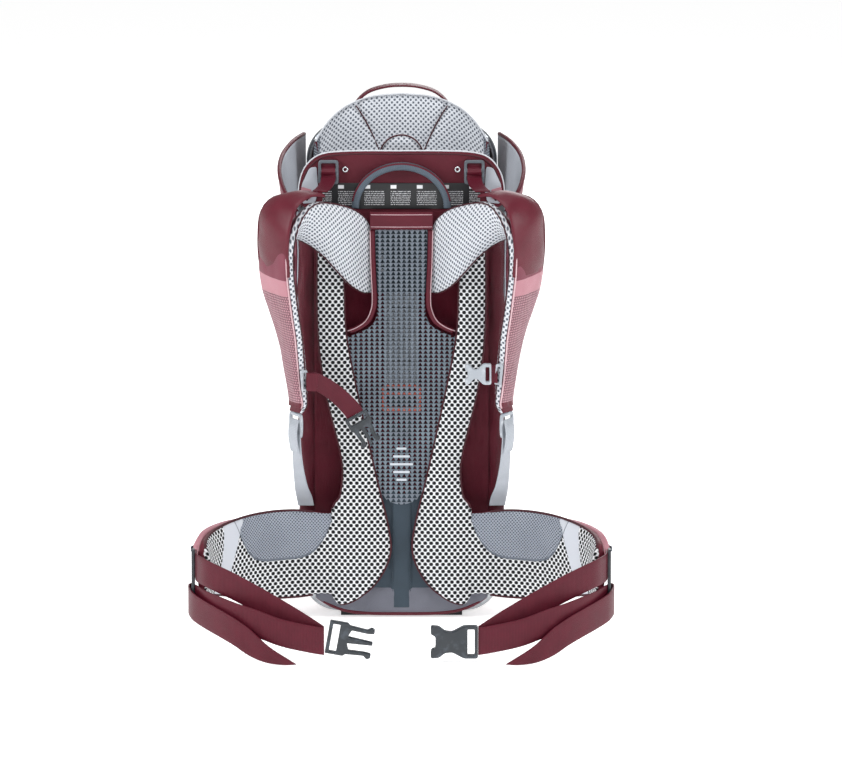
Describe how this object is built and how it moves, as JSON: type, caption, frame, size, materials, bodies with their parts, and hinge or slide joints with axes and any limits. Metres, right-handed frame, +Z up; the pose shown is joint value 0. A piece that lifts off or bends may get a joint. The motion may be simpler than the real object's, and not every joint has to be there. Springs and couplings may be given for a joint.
{
  "type": "baby carrier backpack",
  "caption": "Framed child carrier backpack with padded mesh back, sliding shoulder harness, hip belt, cockpit with seat and headrest, and a folding kickstand.",
  "frame": {"origin": "centre of the bounding box on the floor the carrier stands on", "axes": "+Z up, -Y towards the wearer's side, +X to the right as seen from the wearer's side"},
  "size_m": [0.582, 0.6101, 0.6965],
  "materials": {
    "tube": "satin",
    "steel": "satin",
    "joint_plastic": "matte",
    "rubber": "matte",
    "maroon_cloth": "satin",
    "pink_cloth": "matte",
    "light_mesh": "matte",
    "light_cloth": "matte",
    "dark_mesh": "matte",
    "slate_cloth": "satin",
    "maroon_webbing": "satin",
    "light_webbing": "matte",
    "dark_webbing": "matte",
    "dark_plastic": "satin",
    "light_plastic": "satin",
    "orange_plastic": "satin",
    "label": "satin",
    "label_print": "matte",
    "piping": "satin",
    "grey_mesh": "matte"
  },
  "bodies": {
    "frame": {"upper_frame_tube": "tube", "lower_frame_tube": "tube", "frame_joints": "joint_plastic", "frame_feet": "rubber", "pivot_pins": "steel", "frame_sleeves": "maroon_cloth", "back_plate": "maroon_cloth", "slide_rail": "light_webbing", "back_mesh": "dark_mesh", "mesh_trim": "maroon_webbing", "back_pad_left": "light_mesh", "back_pad_right": "light_mesh", "lumbar_panel": "slate_cloth", "cockpit_front_panel": "maroon_cloth", "label_patch": "label", "lifter_rings": "dark_plastic", "load_lifters": "maroon_webbing", "lower_webbings": "light_webbing", "cockpit_hoop": "tube", "base_bag": "maroon_cloth", "rear_panel": "light_mesh", "rear_cover": "maroon_cloth", "headrest": "light_mesh", "side_wing_left": "light_cloth", "side_wing_right": "light_cloth", "chin_pad": "light_mesh", "child_straps": "dark_webbing"},
    "kickstand": {"kickstand_tube": "tube", "kickstand_hubs": "joint_plastic", "kickstand_feet": "rubber"},
    "harness": {"yoke_plate": "joint_plastic", "slide_strap": "light_webbing", "slide_handle": "orange_plastic", "shoulder_strap_left": "light_mesh", "shoulder_strap_right": "light_mesh", "strap_covers": "pink_cloth", "ladder_locks": "light_plastic"},
    "chest_left": {"chest_strap_left": "maroon_webbing", "chest_buckle_male": "dark_plastic"},
    "chest_right": {"chest_strap_right": "maroon_webbing", "chest_buckle_female": "light_plastic"},
    "hip_left": {"hip_wing_left": "light_mesh", "hip_pocket_left": "maroon_cloth", "hip_strap_left": "maroon_webbing", "hip_buckle_male": "dark_plastic"},
    "hip_right": {"hip_wing_right": "light_mesh", "hip_pocket_right": "maroon_cloth", "hip_strap_right": "maroon_webbing", "hip_buckle_female": "dark_plastic"},
    "hip_zip_slider_left": {"hip_zip_left": "dark_plastic"},
    "hip_zip_slider_right": {"hip_zip_right": "dark_plastic"},
    "base_zip": {"base_zip_slider": "dark_plastic"},
    "seat": {"seat_sling": "slate_cloth", "crotch_strap": "dark_webbing", "harness_buckle": "dark_plastic"},
    "button": {"release_button": "orange_plastic"},
    "stirrup_loop_left": {"stirrup_left": "dark_webbing"},
    "stirrup_loop_right": {"stirrup_right": "dark_webbing"},
    "front_handle": {"front_grab_handle": "slate_cloth"},
    "rear_handle": {"top_handle": "maroon_webbing"}
  },
  "joints": [
    {"name": "kickstand_fold", "type": "hinge", "parent": "frame", "child": "kickstand", "pos_m": [0, 0.0225, 0.106], "axis": [1, 0, 0], "range_deg": [0, 38]},
    {"name": "harness_height", "type": "slide", "parent": "frame", "child": "harness", "axis": [0, 0, 1], "range_m": [-0.028, 0.001], "deforming": ["load_lifters", "lower_webbings"]},
    {"name": "chest_slider_left", "type": "slide", "parent": "harness", "child": "chest_left", "axis": [-0.0742, -0.188, 0.9794], "range_m": [-0.01, 0.036]},
    {"name": "chest_slider_right", "type": "slide", "parent": "harness", "child": "chest_right", "axis": [0.0742, -0.188, 0.9794], "range_m": [-0.018, 0.028]},
    {"name": "hip_wing_swing_left", "type": "hinge", "parent": "frame", "child": "hip_left", "pos_m": [-0.104, -0.0204, 0.09], "axis": [0, 0, -1], "range_deg": [-5, 10]},
    {"name": "hip_wing_swing_right", "type": "hinge", "parent": "frame", "child": "hip_right", "pos_m": [0.104, -0.0204, 0.09], "axis": [0, 0, 1], "range_deg": [-5, 10]},
    {"name": "hip_zip_pull_left", "type": "hinge", "parent": "hip_left", "child": "hip_zip_slider_left", "pos_m": [-0.11, -0.1804, 0.116], "axis": [0, 0, -1], "range_deg": [0, 30]},
    {"name": "hip_zip_pull_right", "type": "hinge", "parent": "hip_right", "child": "hip_zip_slider_right", "pos_m": [0.11, -0.1804, 0.116], "axis": [0, 0, 1], "range_deg": [0, 30]},
    {"name": "base_zip_pull", "type": "slide", "parent": "frame", "child": "base_zip", "axis": [1, 0, 0], "range_m": [0, 0.16]},
    {"name": "seat_height", "type": "slide", "parent": "frame", "child": "seat", "axis": [0, 0, 1], "range_m": [-0.04, 0.03], "deforming": ["child_straps"]},
    {"name": "button_press", "type": "slide", "parent": "seat", "child": "button", "axis": [0, 1, 0], "range_m": [0, 0.003], "stiffness_N_per_m": 800},
    {"name": "stirrup_swing_left", "type": "hinge", "parent": "frame", "child": "stirrup_loop_left", "pos_m": [-0.1404, 0.074, 0.3965], "axis": [0, 1, 0], "range_deg": [-20, 20]},
    {"name": "stirrup_swing_right", "type": "hinge", "parent": "frame", "child": "stirrup_loop_right", "pos_m": [0.1404, 0.074, 0.3965], "axis": [0, 1, 0], "range_deg": [-20, 20]},
    {"name": "front_handle_tilt", "type": "hinge", "parent": "frame", "child": "front_handle", "pos_m": [0, -0.0184, 0.577], "axis": [1, 0, 0], "range_deg": [0, 28]},
    {"name": "rear_handle_tilt", "type": "hinge", "parent": "frame", "child": "rear_handle", "pos_m": [0, 0.276, 0.647], "axis": [-1, 0, 0], "range_deg": [0, 45]}
  ]
}
